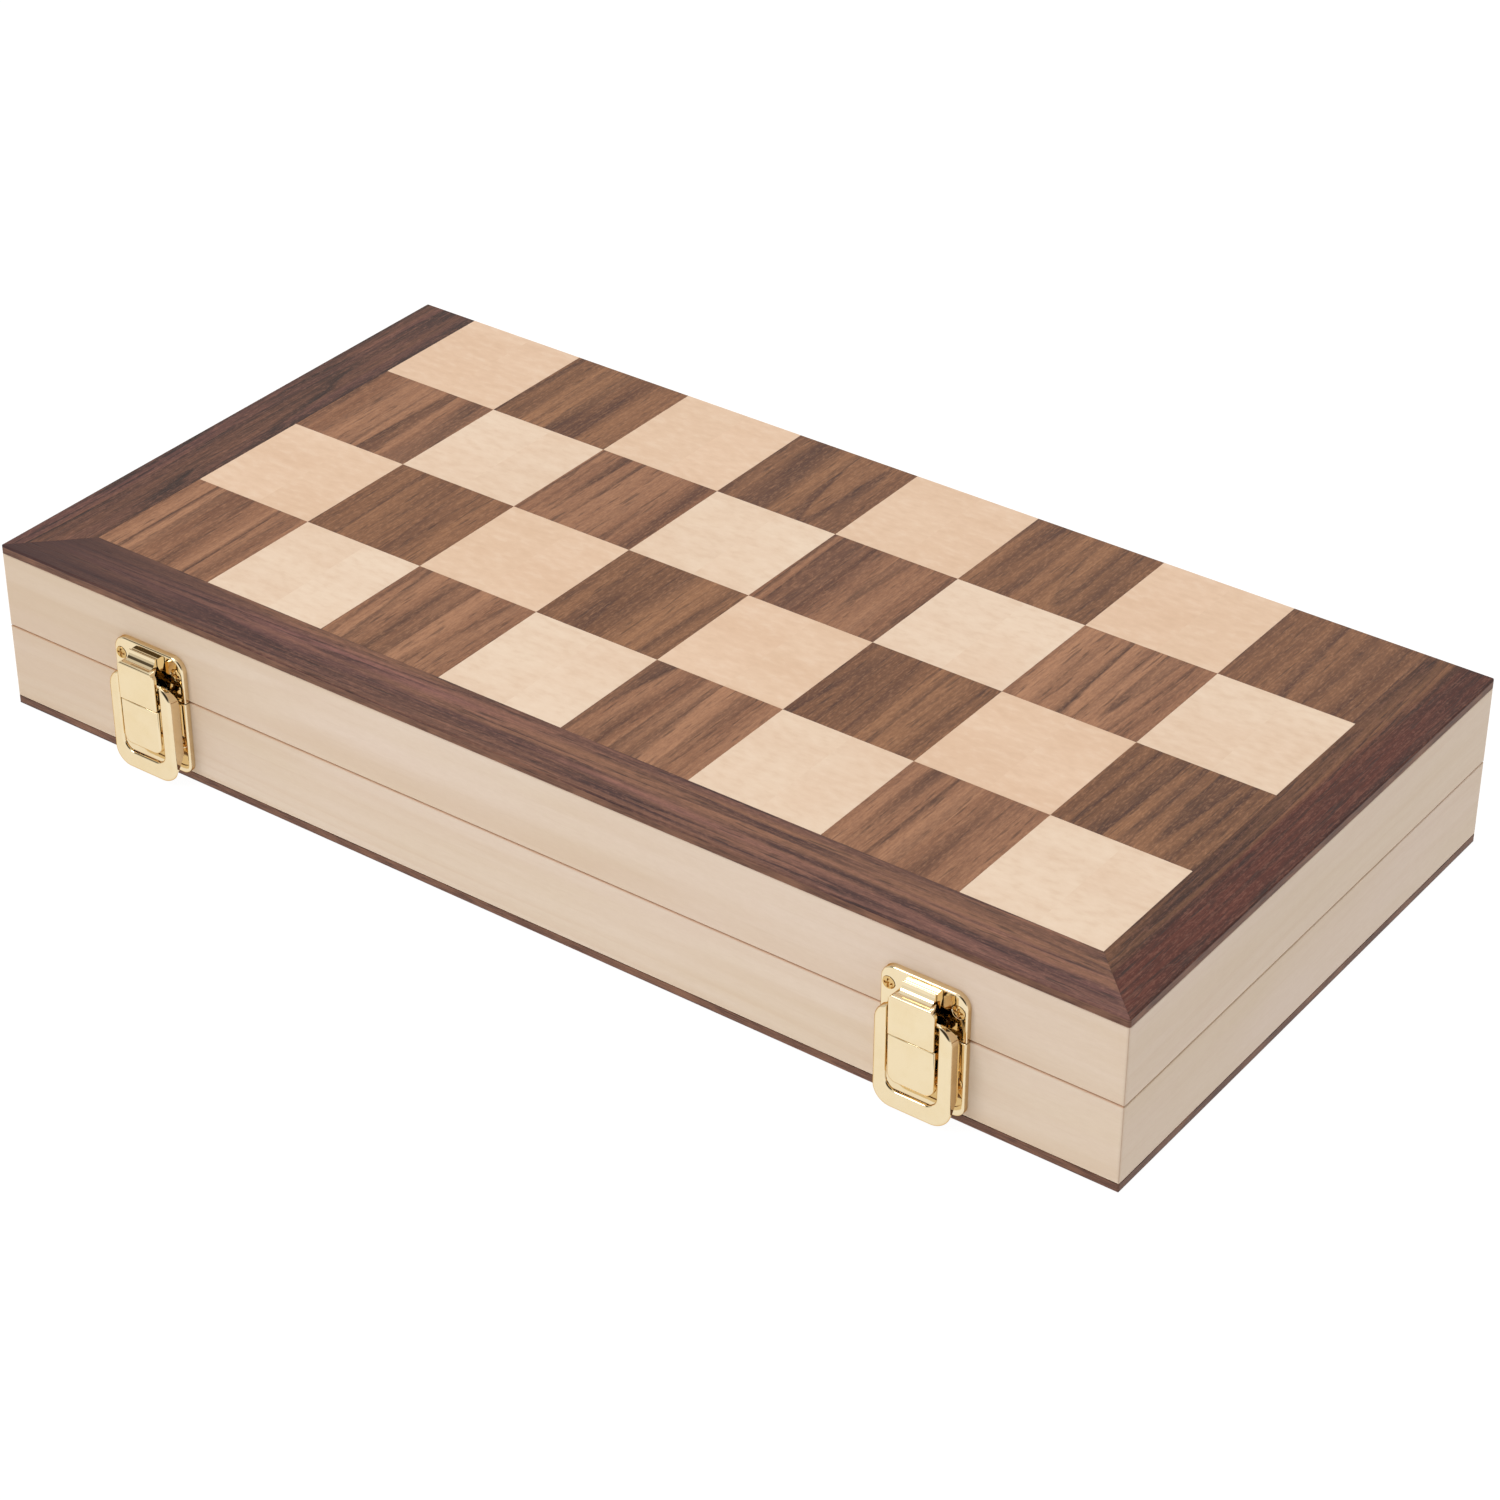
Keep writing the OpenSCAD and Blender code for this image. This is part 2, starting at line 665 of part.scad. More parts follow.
module lever(side) {
    depth = lever_front - lever_back;
    color("gold") at_latch(side) difference() {
        intersection() {
            translate([0, -lever_back, (lever_up - lever_down) / 2]) upright() difference() {
                pressed_plate(lever_w, lever_h, lever_corner, depth, lever_edge);
                translate([0, 0, -cut]) linear_extrude(depth - sheet_t + cut)
                    rounded(lever_w - 2 * sheet_t, lever_h - 2 * sheet_t, lever_corner - sheet_t);
                translate([0, grip_w, 0]) window(depth);
            }
            across(lever_w + cut) lever_section();
        }
        rod(-pin_end - seat_gap, pin_end + seat_gap, pivot_out, pivot_up, pin_r + running_fit);
        rod(-rivet_end - seat_gap, rivet_end + seat_gap, rivet_out, -rivet_down, pin_r + running_fit);
    }
}

module lever_pin(side) {
    color("darkgoldenrod") at_latch(side) rod(-pin_end, pin_end, pivot_out, pivot_up, pin_r);
}

// Side view of the hook's cap, filled: the roof sweeps up into a thin lip before the keeper
module cap_section() {
    low_at = [lip_out + cap_low_r, cap_low + cap_low_r];
    front = lip_out + lip_t;
    top = lip_up - lip_r;
    sweep_r = top - hook_up;
    polygon([[lip_out, low_at.y], [low_at.x, cap_low], [hook_front, cap_low], [hook_front, bend_at.y],
             [bend_at.x, hook_up], [front, hook_up], [front, top], [front - lip_r, lip_up],
             [lip_out + lip_r, lip_up], [lip_out, top]]);
    translate(low_at) circle(cap_low_r);
    translate(bend_at) circle(bend_r);
    for (x = [lip_out + lip_r, front - lip_r]) translate([x, top]) circle(lip_r);
    difference() {
        translate([front - sunk, hook_up - sunk]) square(sweep_r + sunk);
        translate([front + sweep_r, top]) circle(sweep_r, $fn = 96);
    }
}

// The room in the cap, one sheet inside it and open below
module cap_hollow() {
    inside = hook_front - sheet_t;
    ceiling = hook_up - sheet_t;
    polygon([[lip_out + sheet_t, cap_low - cut], [inside, cap_low - cut], [inside, ceiling - inner_bend_r],
             [inside - inner_bend_r, ceiling], [lip_out + sheet_t, ceiling]]);
    translate([inside - inner_bend_r, ceiling - inner_bend_r]) circle(inner_bend_r);
}

// Plan of the cap, narrowing from the hook's front to the keeper; inset moves its sides inwards
module cap_plan(inset) {
    front = hook_w / 2 - inset;
    back = keeper_w / 2 - inset;
    edge = -hook_front + hook_edge;
    polygon([[-front, -hook_front - cut], [front, -hook_front - cut], [front, edge],
             [back, -lip_out], [back, 0], [-back, 0], [-back, -lip_out], [-front, edge]]);
}

// Front view of the hook, with its two round upper corners; inset draws it inwards
module hook_outline(inset) {
    w = hook_w - 2 * inset;
    flat = hook_w - 2 * hook_corner;
    shoulder = hook_up - hook_corner;
    translate([-w / 2, -hook_down - cut]) square([w, shoulder + hook_down + cut]);
    translate([-flat / 2, 0]) square([flat, hook_up - inset]);
    for (m = [-1, 1]) translate([m * flat / 2, shoulder]) circle(hook_corner - inset);
    translate([-keeper_w / 2 + inset, 0]) square([keeper_w - 2 * inset, lip_up + cut]);
}

// Cheek of the hook with the ear for its rivet; it passes in front of the lever's pin
module cheek_section() {
    back = pivot_out + pin_r + pass_gap;
    translate([back, -hook_down]) square([hook_front - sheet_t / 2 - back, hook_down + bend_at.y]);
    intersection() {
        band([rivet_out, -rivet_down], ear_r, [hook_front - ear_r, -rivet_down], ear_r);
        translate([0, -hook_down]) square([hook_front, hook_down + hook_up]);
    }
}

module hook(side) {
    tall = hook_down + lip_up + cut;
    color("khaki") at_latch(side) difference() {
        intersection() {
            union() {
                difference() {
                    intersection() {
                        across(hook_w) cap_section();
                        translate([0, 0, -hook_down]) linear_extrude(tall) cap_plan(0);
                    }
                    intersection() {
                        across(hook_w) cap_hollow();
                        translate([0, 0, -hook_down]) linear_extrude(tall) cap_plan(sheet_t);
                        upright() linear_extrude(hook_front) hook_outline(sheet_t);
                    }
                }
                across(hook_w) translate([hook_front - sheet_t, -hook_down])
                    square([sheet_t, hook_down + bend_at.y]);
                for (m = [-1, 1])
                    translate([m * (hook_w - sheet_t) / 2, 0, 0]) across(sheet_t) cheek_section();
            }
            translate([0, -hook_front / 2, -hook_down])
                linear_extrude(tall) rounded(hook_w, hook_front, hook_edge);
            upright() linear_extrude(hook_front + cut) hook_outline(0);
        }
        across(2 * hook_w) mirror([0, 1]) corner_cut(hook_front, hook_down, hook_ease);
        rod(-hook_w, hook_w, rivet_out, -rivet_down, pin_r + running_fit);
    }
}

// Two short rivets, from the inner face of the hook's cheeks to the lever's flanges
module hook_rivets(side) {
    color("darkgoldenrod") at_latch(side) for (m = [0, 1]) mirror([m, 0, 0])
        rod(hook_w / 2 - sheet_t, rivet_end, rivet_out, -rivet_down, pin_r);
}

module latch_screws(z) {
    color("gold") for (side = [-1, 1]) at_latch(side) latch_screw_places(z) wood_screw(latch_screw_l);
}

// ---- nodes ------------------------------------------------------------------------------------

wall("front", "base");  // base_front_wall
wall("back", "base");  // base_back_wall
wall("left", "base");  // base_left_wall
wall("right", "base");  // base_right_wall
core_panel("base");  // base_core_panel
border_strip("front", "base");  // base_border_front
border_strip("left", "base");  // base_border_left
border_strip("right", "base");  // base_border_right
squares("base", 1, "saddlebrown");  // base_walnut_squares
squares("base", 0, "bisque");  // base_maple_squares
field("base");  // base_field
points("base", 0, "saddlebrown");  // base_dark_points
points("base", 1, "peru");  // base_light_points
wall("front", "lid");  // lid_front_wall
wall("back", "lid");  // lid_back_wall
wall("left", "lid");  // lid_left_wall
wall("right", "lid");  // lid_right_wall
core_panel("lid");  // lid_core_panel
border_strip("front", "lid");  // lid_border_front
border_strip("left", "lid");  // lid_border_left
border_strip("right", "lid");  // lid_border_right
squares("lid", 0, "saddlebrown");  // lid_walnut_squares
squares("lid", 1, "bisque");  // lid_maple_squares
field("lid");  // lid_field
points("lid", 1, "saddlebrown");  // lid_dark_points
points("lid", 0, "peru");  // lid_light_points
leaf(-1, "base");  // left_hinge_base_leaf
leaf(-1, "lid");  // left_hinge_lid_leaf
hinge_pin(-1);  // left_hinge_pin
leaf(1, "base");  // right_hinge_base_leaf
leaf(1, "lid");  // right_hinge_lid_leaf
hinge_pin(1);  // right_hinge_pin
hinge_screws("base");  // hinge_base_screws
hinge_screws("lid");  // hinge_lid_screws
strike_plate(-1);  // left_latch_strike_plate
base_plate(-1);  // left_latch_base_plate
lever(-1);  // left_latch_lever
lever_pin(-1);  // left_latch_lever_pin
hook(-1);  // left_latch_hook
hook_rivets(-1);  // left_latch_hook_rivets
strike_plate(1);  // right_latch_strike_plate
base_plate(1);  // right_latch_base_plate
lever(1);  // right_latch_lever
lever_pin(1);  // right_latch_lever_pin
hook(1);  // right_latch_hook
hook_rivets(1);  // right_latch_hook_rivets
latch_screws(strike_screw_z);  // latch_strike_screws
latch_screws(-base_screw_z);  // latch_base_screws
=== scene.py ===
"""Looks of the folding chess and backgammon case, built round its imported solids, in metres."""

import math

import bmesh
import bpy
import numpy as np
from mathutils import Matrix, Vector


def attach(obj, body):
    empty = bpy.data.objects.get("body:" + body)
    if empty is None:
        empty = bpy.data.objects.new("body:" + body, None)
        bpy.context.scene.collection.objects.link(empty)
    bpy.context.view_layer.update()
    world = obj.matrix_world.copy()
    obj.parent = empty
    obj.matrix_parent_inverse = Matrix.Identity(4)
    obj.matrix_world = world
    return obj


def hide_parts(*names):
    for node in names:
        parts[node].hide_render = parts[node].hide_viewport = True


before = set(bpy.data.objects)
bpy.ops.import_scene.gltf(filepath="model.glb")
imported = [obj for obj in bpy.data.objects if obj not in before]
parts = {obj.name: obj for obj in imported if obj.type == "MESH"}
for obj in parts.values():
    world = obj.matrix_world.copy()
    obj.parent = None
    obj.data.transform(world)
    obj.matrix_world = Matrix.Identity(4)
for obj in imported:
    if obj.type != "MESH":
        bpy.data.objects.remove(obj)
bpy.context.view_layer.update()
halves = ("base", "lid")


# ---- Walls ------------------------------------------------------------------------------------
# Each tray has four maple walls, 10 mm thick, mitred and glued at the corners, sanded and given
# a satin lacquer. The grain runs along each wall; the maple is pale with soft warm streaks.

case_length, case_width, seam_height = 0.400, 0.200, 0.02835

# For each wall: the turn that brings its grain along X, its place on the board it was sawn from,
# how strong the painted warm shade along the seam is, and how much its streaks are evened out.
walls = {
    "front": (0, 1.16, 0.5, 0),
    "back": (0, 0.95, 0.3, 0),
    "left": (90, 0.95, 0.1, 0.32),
    "right": (90, 1.16, 0.1, 0.32),
}


def place(tree, kind, inputs=None, **fields):
    """Adds a node: fields are its own settings, inputs are values or sockets to link to."""
    node = tree.nodes.new(kind)
    for name, value in fields.items():
        setattr(node, name, value)
    for name, value in (inputs or {}).items():
        if isinstance(value, bpy.types.NodeSocket):
            tree.links.new(value, node.inputs[name])
        else:
            node.inputs[name].default_value = value
    return node


def tint(r, g, b):
    """Linear colour with full alpha from sRGB values of 0 to 255."""
    c = np.array([r, g, b]) / 255
    c = np.where(c <= 0.04045, c / 12.92, ((c + 0.055) / 1.055) ** 2.4)
    return (*c.tolist(), 1.0)


def reckoned(tree, kind, a, b=0.0):
    """Result of one Math node on one or two values or sockets."""
    return place(tree, "ShaderNodeMath", {0: a, 1: b}, operation=kind).outputs[0]


def times(tree, a, b):
    """The product of two values or sockets."""
    return reckoned(tree, "MULTIPLY", a, b)


def scaled(tree, vector, factors):
    """The vector times three factors."""
    inputs = {0: vector, 1: factors}
    return place(tree, "ShaderNodeVectorMath", inputs, operation="MULTIPLY").outputs[0]


def moved(tree, vector, offset):
    """The vector plus an offset."""
    return place(tree, "ShaderNodeVectorMath", {0: vector, 1: offset}, operation="ADD").outputs[0]


def noise(tree, vector, scale, detail=2.0, roughness=0.55):
    """Value of a noise texture, about 0.5 on average."""
    inputs = {"Vector": vector, "Scale": scale, "Detail": detail, "Roughness": roughness}
    return place(tree, "ShaderNodeTexNoise", inputs).outputs[0]


def between(tree, value, low, high, start=0.0, end=1.0):
    """The value moved from the range low..high to start..end, and kept inside it."""
    inputs = {"Value": value, "From Min": low, "From Max": high, "To Min": start, "To Max": end}
    return place(tree, "ShaderNodeMapRange", inputs).outputs[0]


def mixed(tree, factor, a, b):
    """Colour a passing into colour b by the factor."""
    return place(tree, "ShaderNodeMix", {0: factor, 6: a, 7: b}, data_type="RGBA").outputs[2]


def layered(tree, colour, *layers):
    """The colour with layers laid over it in turn, each a mask and the tone that it brings in."""
    for mask, tone in layers:
        colour = mixed(tree, mask, colour, tone)
    return colour


def new_group(name, inputs, outputs):
    """Empty shader group; returns its tree, the node of its inputs and the node of its outputs."""
    tree = bpy.data.node_groups.new(name, "ShaderNodeTree")
    for way, sockets in (("INPUT", inputs), ("OUTPUT", outputs)):
        for label, kind in sockets.items():
            tree.interface.new_socket(label, in_out=way, socket_type=f"NodeSocket{kind}")
    return tree, tree.nodes.new("NodeGroupInput"), tree.nodes.new("NodeGroupOutput")


def make_grain():
    """Figure of straight-grained wood along X, in values of 0 to 1.

    Bands add up broad and narrow noise, stretched along X and bent sideways by the wander. Rings
    come wherever a slower noise crosses a tenth: it darkens slowly and clears at once, as a
    year's growth does, and fades here and there. Fibres, flecks and pores are fine strokes.
    """
    tree, given, out = new_group(
        "straight_grain",
        {"Vector": "Vector", "Bands per metre": "Float", "Wander": "Float",
         "Fibres per metre": "Float"},
        {label: "Float" for label in ("Bands", "Rings", "Fibres", "Flecks", "Pores")})
    vector, bands, wander, fine = given.outputs[:4]
    bend = noise(tree, scaled(tree, vector, (0.45, 1, 1)), 11.0, 1.0)
    bend = times(tree, reckoned(tree, "SUBTRACT", bend, 0.5), wander)
    sideways = place(tree, "ShaderNodeCombineXYZ", {"Y": bend, "Z": bend}).outputs[0]
    wandering = moved(tree, scaled(tree, vector, (0.05, 1, 1)), sideways)
    broad = noise(tree, wandering, bands, 3.0)
    narrow = noise(tree, scaled(tree, wandering, (0.5, 1, 1)), times(tree, bands, 3.3), 2.0)
    both = reckoned(tree, "ADD", times(tree, broad, 0.72), times(tree, narrow, 0.28))
    growth = noise(tree, wandering, times(tree, bands, 0.6), 1.2, 0.4)
    year = reckoned(tree, "FLOORED_MODULO", growth, 0.1)
    ring = times(tree, between(tree, year, 0.045, 0.088), between(tree, year, 0.09, 0.1, 1, 0))
    strength = noise(tree, scaled(tree, wandering, (1.5, 1, 1)), times(tree, bands, 1.3), 1.0)
    fibres = noise(tree, scaled(tree, vector, (0.03, 1, 1)), fine, 3.0, 0.7)
    flecks = noise(tree, scaled(tree, vector, (0.3, 1, 1)), times(tree, fine, 1.1), 2.0, 0.7)
    pores = noise(tree, scaled(tree, vector, (0.09, 1, 1)), times(tree, fine, 0.7), 1.0)
    for label, value in {
            "Bands": between(tree, both, 0.38, 0.62),
            "Rings": times(tree, ring, between(tree, strength, 0.36, 0.58, 0.15, 1)),
            "Fibres": between(tree, fibres, 0.3, 0.7),
            "Flecks": between(tree, flecks, 0.3, 0.7),
            "Pores": between(tree, pores, 0.6, 0.72)}.items():
        tree.links.new(value, out.inputs[label])
    return tree


straight_grain = make_grain()


def figure(tree, vector, bands, wander, fibres):
    """The straight grain group with its values set; the wander is in metres."""
    inputs = {"Vector": vector, "Bands per metre": bands, "Wander": wander,
              "Fibres per metre": fibres}
    return place(tree, "ShaderNodeGroup", inputs, node_tree=straight_grain).outputs


def new_finish(name):
    """Empty material; returns it, its tree and its shader."""
    material = bpy.data.materials.new(name)
    material.use_nodes = True
    return material, material.node_tree, material.node_tree.nodes["Principled BSDF"]


def coordinates(tree):
    """The Object coordinates, in metres from the middle of the case's footprint."""
    return place(tree, "ShaderNodeTexCoord").outputs["Object"]


def split(tree, vector):
    """The X, Y and Z of a vector."""
    return place(tree, "ShaderNodeSeparateXYZ", {0: vector}).outputs


def turned(tree, vector, degrees, shift=(0, 0, 0)):
    """The vector turned about Z and shifted, so that the grain can run along X."""
    inputs = {"Vector": vector, "Rotation": (0, 0, math.radians(degrees)), "Location": shift}
    return place(tree, "ShaderNodeMapping", inputs).outputs[0]


def inside(tree, reach, value):
    """How far a coordinate lies inside a reach to both sides of the middle."""
    return reckoned(tree, "SUBTRACT", reach, reckoned(tree, "ABSOLUTE", value))


def relief(tree, shader, height, depth):
    """Fine surface relief of the given depth in metres."""
    bump = place(tree, "ShaderNodeBump", {"Height": height, "Distance": depth, "Strength": 0.6})
    tree.links.new(bump.outputs[0], shader.inputs["Normal"])


def lacquered(tree, shader, colour, roughness, height, depth):
    """Wood of the given colour, roughness and relief under a thin clear satin coat."""
    tree.links.new(colour, shader.inputs["Base Color"])
    tree.links.new(roughness, shader.inputs["Roughness"])
    relief(tree, shader, height, depth)
    shader.inputs["Specular IOR Level"].default_value = 0.22
    shader.inputs["Coat Weight"].default_value = 0.06
    shader.inputs["Coat Roughness"].default_value = 0.3


def maple_wall(name, shift, turn, seam_shade, calm):
    """Pale maple with warm streaks, cooler patches, painted shade at the seam and the left end, and
    a dark line in each mitre.
    """
    material, tree, shader = new_finish(name)
    where = coordinates(tree)
    axes = split(tree, where)
    vector = turned(tree, where, turn, shift)
    grain = figure(tree, vector, 55.0, 0.012, 900.0)
    streaks = between(tree, grain["Bands"], 0, 1, calm, 1 - calm)
    patches = noise(tree, scaled(tree, vector, (0.25, 1, 1)), 22.0, 3.0)
    off_seam = reckoned(tree, "ABSOLUTE", reckoned(tree, "SUBTRACT", axes["Z"], seam_height))
    from_end = inside(tree, case_length / 2, axes["X"])
    from_side = inside(tree, case_width / 2, axes["Y"])
    off_mitre = reckoned(tree, "ABSOLUTE", reckoned(tree, "SUBTRACT", from_end, from_side))
    mitre = between(tree, off_mitre, 0.00006, 0.00022, 0.5, 0)
    colour = layered(
        tree, mixed(tree, streaks, tint(219, 196, 169), tint(229, 210, 190)),
        (between(tree, patches, 0.42, 0.7, end=0.7), tint(229, 208, 194)),
        (times(tree, grain["Flecks"], 0.12), tint(200, 172, 144)),
        (between(tree, grain["Fibres"], 0.6, 1.0, end=0.14), tint(206, 178, 148)),
        (times(tree, grain["Rings"], 0.16 * (1 - calm)), tint(204, 170, 138)),
        # painted shade: each wall darkens towards the left end of the case, where less light falls
        (between(tree, axes["X"], -0.2, -0.07, 0.34, 0), tint(196, 170, 142)),
        # painted warm shade: the rim turns amber-brown near the seam, standing in for the shadowed
        # gap between lid and base
        (between(tree, off_seam, 0.0002, 0.0005, seam_shade, 0), tint(204, 150, 104)),
        (mitre, tint(170, 122, 84)))
    lacquered(tree, shader, colour, between(tree, grain["Fibres"], 0, 1, 0.42, 0.52),
              reckoned(tree, "ADD", grain["Fibres"], mitre), 0.00003)
    return material


def dress(node, material):
    """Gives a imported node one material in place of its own."""
    mesh = parts[node].data
    mesh.materials.clear()
    mesh.materials.append(material)


for half_number, half in enumerate(halves):
    for side, (turn, sawn_at, seam_shade, calm) in walls.items():
        shift = (0.37 * half_number, sawn_at, 0.07 * half_number)
        dress(f"{half}_{side}_wall", maple_wall(f"maple_{half}_{side}", shift, turn, seam_shade, calm))


# ---- Core panels ------------------------------------------------------------------------------
# The panel behind the veneers, 2.2 mm of brown wood whose edge shows as a dark stripe all round,
# flush with the walls. It is glued on the walls and sanded level with them.


def panel_edge():
    """Walnut-brown edge with close grain lines along the stripe and lighter worn spots."""
    material, tree, shader = new_finish("panel_brown")
    where = coordinates(tree)
    lines = noise(tree, scaled(tree, where, (0.05, 0.05, 1)), 2600.0, 3.0, 0.6)
    spots = noise(tree, scaled(tree, where, (1, 1, 3)), 60.0, 3.0)
    colour = mixed(tree, between(tree, lines, 0.35, 0.65), tint(76, 47, 35), tint(128, 89, 70))
    colour = mixed(tree, between(tree, spots, 0.45, 0.7, end=0.6), colour, tint(152, 108, 82))
    lacquered(tree, shader, colour, between(tree, lines, 0.3, 0.7, 0.45, 0.6), lines, 0.00005)
    return material


panel_brown = panel_edge()
for half in halves:
    dress(f"{half}_core_panel", panel_brown)


# ---- Border strips ----------------------------------------------------------------------------
# Three strips of walnut veneer, 20.8 mm wide, frame the squares on each face. They are mitred at
# the front corners and run out at the hinge side; the grain follows each strip.

border_width = 0.0208

# For each strip: the turn that brings its grain along X, the tones of its dark lines and of its
# plum and olive bands, the paler tone by the squares and how much of it shows, and how far the
# strip darkens towards the left end of the case.
strips = {
    "front": (0, tint(60, 34, 34), tint(128, 82, 82), tint(134, 92, 72),
              tint(142, 100, 70), 0.4, 0.95),
    "left": (90, tint(36, 20, 18), tint(98, 60, 55), tint(112, 72, 54),
             tint(104, 70, 52), 0.2, 0.0),
    "right": (90, tint(46, 17, 9), tint(88, 37, 23), tint(100, 50, 30),
              tint(134, 92, 60), 0.85, 0.0),
}


def hatched(tree, colour, grain, light, dark, flecks, fibres):
    """The colour with flecks and fibres, light where they are high and dark where they are low.

    Flecks and fibres each give how much light and how much dark they bring in.
    """
    for label, (lift, fall) in (("Flecks", flecks), ("Fibres", fibres)):
        colour = layered(tree, colour,
                         (between(tree, grain[label], 0.5, 1.0, end=lift), light),
                         (between(tree, grain[label], 0.5, 0.0, end=fall), dark))
    return colour


def walnut_coat(tree, shader, colour, grain):
    """Finishes walnut: raised fibres, sunken pores and the lacquer over them."""
    pits = times(tree, grain["Pores"], 1.5)
    lacquered(tree, shader, colour, between(tree, grain["Fibres"], 0, 1, 0.42, 0.55),
              reckoned(tree, "SUBTRACT", grain["Fibres"], pits), 0.00005)


def border_walnut(name, shift, turn, dark, plum, olive, inner, shown, left_end):
    """Walnut veneer in plum and olive bands along the strip, paler by the squares."""
    material, tree, shader = new_finish(name)
    where = coordinates(tree)
    axes = split(tree, where)
    vector = turned(tree, where, turn, shift)
    grain = figure(tree, vector, 120.0, 0.005, 1500.0)
    tone = noise(tree, scaled(tree, vector, (0.03, 1, 1)), 115.0, 1.0)
    from_end = inside(tree, case_length / 2, axes["X"])
    from_front = reckoned(tree, "ADD", axes["Y"], case_width / 2)
    from_edge = reckoned(tree, "MINIMUM", from_end, from_front)
    waver = times(tree, reckoned(tree, "SUBTRACT", tone, 0.5), 0.02)
    wavy = reckoned(tree, "ADD", from_edge, waver)
    colour = layered(
        tree, mixed(tree, between(tree, tone, 0.42, 0.58), plum, olive),
        (between(tree, wavy, 0.0105, 0.0145, end=shown), inner),
        (between(tree, from_edge, 0.0005, 0.0035, shown * 0.6, 0), dark),
        (between(tree, grain["Bands"], 0.0, 0.7, 0.7, 0), dark),
        (times(tree, grain["Rings"], 0.95), dark))
    light = tuple(0.4 * a + 0.6 * b for a, b in zip(olive, tint(196, 140, 118)))
    colour = hatched(tree, colour, grain, light, dark, (0.25, 0.25), (0.25, 0.35))
    colour = layered(
        tree, colour,
        (times(tree, grain["Pores"], 0.6), tint(52, 34, 29)),
        (between(tree, axes["X"], -0.2, -0.08, left_end, 0), dark))
    walnut_coat(tree, shader, colour, grain)
    return material


for half_number, half in enumerate(halves):
    for side, tones in strips.items():
        shift = (0.5 * half_number, 0.3, 0.2)
        dress(f"{half}_border_{side}", border_walnut(f"walnut_{side}_{half}", shift, *tones))


# ---- Playing squares --------------------------------------------------------------------------
# Walnut and maple veneer squares, 44.8 mm a side, sixteen of each on each face. They were cut
# from strips that lie turned over in every second row, so the tone alternates from row to row.

square_side = 0.0448


def make_leaf():
    """Splits a face into squares: a place of its own for each, a chance value and the row's parity.

    The square's number is the place counted in sides from the left front corner of the squares,
    rounded down; the chance comes from that number, and the place is moved by up to 3 m.
    """
    tree, given, out = new_group("veneer_leaf", {"Vector": "Vector"},
                                 {"Vector": "Vector", "Chance": "Float", "Odd row": "Float"})
    where = given.outputs["Vector"]
    from_corner = moved(tree, where, (case_length / 2, case_width / 2 - border_width, 0))
    counted = scaled(tree, from_corner, (1 / square_side, 1 / square_side, 0))
    number = place(tree, "ShaderNodeVectorMath", {0: counted}, operation="FLOOR").outputs[0]
    chance = place(tree, "ShaderNodeTexWhiteNoise", {"Vector": number}, noise_dimensions="3D")
    own = moved(tree, where, scaled(tree, chance.outputs["Color"], (3, 3, 3)))
    odd = reckoned(tree, "FLOORED_MODULO", split(tree, number)["Y"], 2.0)
    tree.links.new(own, out.inputs["Vector"])
    tree.links.new(chance.outputs["Value"], out.inputs["Chance"])
    tree.links.new(odd, out.inputs["Odd row"])
    return tree


veneer_leaf = make_leaf()


def leaf_of(tree):
    """The veneer leaf group on Object coordinates; its outputs are Vector, Chance and Odd row."""
    inputs = {"Vector": coordinates(tree)}
    return place(tree, "ShaderNodeGroup", inputs, node_tree=veneer_leaf).outputs


def walnut_square():
    """Warm brown walnut with dark ring lines front to back, redder and darker in odd rows."""
    material, tree, shader = new_finish("walnut_square")
    leaf = leaf_of(tree)
    vector = turned(tree, leaf["Vector"], 90)
    grain = figure(tree, vector, 72.0, 0.013, 1400.0)
    slow = noise(tree, scaled(tree, vector, (0.07, 1, 1)), 42.0, 2.0)
    even = mixed(tree, grain["Bands"], tint(126, 83, 58), tint(172, 124, 92))
    odd = mixed(tree, grain["Bands"], tint(104, 67, 43), tint(154, 108, 74))
    colour = layered(
        tree, mixed(tree, leaf["Odd row"], even, odd),
        (between(tree, slow, 0.56, 0.68, end=0.7), tint(84, 52, 40)),
        (times(tree, grain["Rings"], 0.9), tint(68, 40, 30)),
        (times(tree, leaf["Chance"], 0.2), tint(118, 72, 50)),
        (between(tree, grain["Flecks"], 0.5, 1.0, end=0.3), tint(194, 144, 108)),
        (between(tree, grain["Flecks"], 0.5, 0.0, end=0.25), tint(84, 50, 38)),
        (between(tree, grain["Fibres"], 0.5, 1.0, end=0.2), tint(190, 140, 104)),
        (between(tree, grain["Fibres"], 0.5, 0.0, end=0.25), tint(84, 50, 38)),
        (times(tree, grain["Pores"], 0.5), tint(58, 36, 28)))
    walnut_coat(tree, shader, colour, grain)
    return material


def maple_square():
    """Cream maple with a fine fleck, peach in odd rows, each square a little different."""
    material, tree, shader = new_finish("maple_square")
    leaf = leaf_of(tree)
    grain = figure(tree, leaf["Vector"], 70.0, 0.012, 1100.0)
    fleck = noise(tree, scaled(tree, leaf["Vector"], (0.5, 1, 1)), 420.0, 3.0)
    cloud = noise(tree, leaf["Vector"], 26.0, 3.0)
    cream = mixed(tree, grain["Bands"], tint(230, 204, 180), tint(236, 213, 190))
    peach = mixed(tree, grain["Bands"], tint(225, 191, 162), tint(232, 201, 174))
    colour = layered(
        tree, mixed(tree, leaf["Odd row"], cream, peach),
        (between(tree, cloud, 0.4, 0.7, end=0.45), tint(225, 192, 164)),
        (times(tree, leaf["Chance"], 0.25), tint(224, 196, 168)),
        (between(tree, fleck, 0.5, 0.7, end=0.26), tint(210, 176, 146)),
        (between(tree, fleck, 0.48, 0.3, end=0.2), tint(246, 226, 206)))
    lacquered(tree, shader, colour, between(tree, fleck, 0.3, 0.7, 0.42, 0.52),
              reckoned(tree, "ADD", grain["Fibres"], fleck), 0.00003)
    return material


